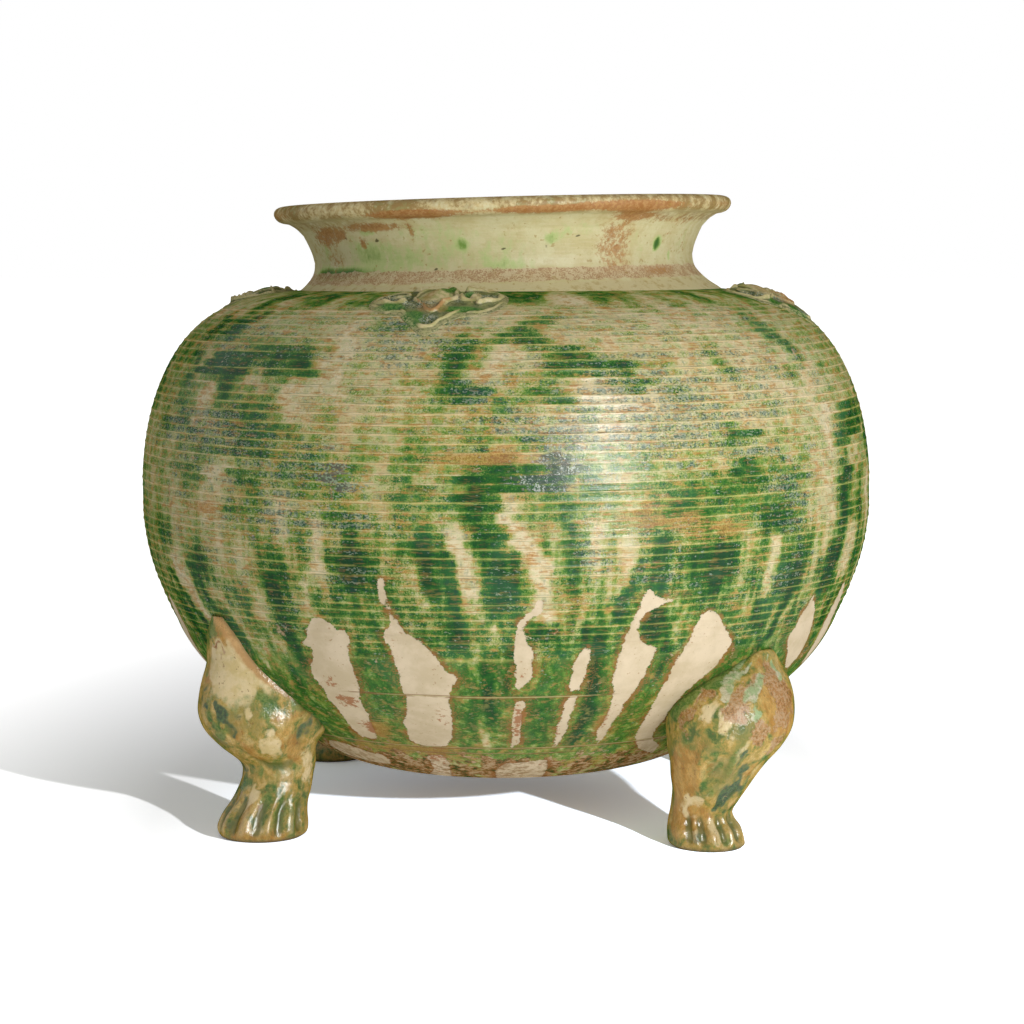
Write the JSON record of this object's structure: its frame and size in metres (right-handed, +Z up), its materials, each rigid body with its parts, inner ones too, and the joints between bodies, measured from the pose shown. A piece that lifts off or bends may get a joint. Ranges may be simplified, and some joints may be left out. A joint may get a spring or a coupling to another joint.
{
  "type": "four-footed jar",
  "caption": "Round-bellied glazed ceramic jar with a short flared neck, comb-grooved body, paw feet and applied shoulder sprigs.",
  "frame": {"origin": "on the ground the jar stands on, under the middle of its belly", "axes": "+Z up out of the mouth, -Y towards the front as pictured, +X to the right seen from the front"},
  "size_m": [0.2708, 0.2708, 0.2266],
  "materials": {
    "splashed_green_glaze": "glossy, crazed and partly weathered lead glaze, green splashed over cream",
    "cream_glaze": "glossy pale straw glaze with a green tinge and brown stains",
    "foot_glaze": "glossy amber glaze mottled with green and blue-green",
    "sprig_glaze": "glossy green and cream glaze worn on the ridges"
  },
  "bodies": {
    "root": {"jar_body": "splashed_green_glaze", "neck": "cream_glaze", "front_left_foot": "foot_glaze", "front_right_foot": "foot_glaze", "back_right_foot": "foot_glaze", "back_left_foot": "foot_glaze", "shoulder_sprig_1": "sprig_glaze", "shoulder_sprig_2": "sprig_glaze", "shoulder_sprig_3": "sprig_glaze", "shoulder_sprig_4": "sprig_glaze"}
  },
  "joints": []
}
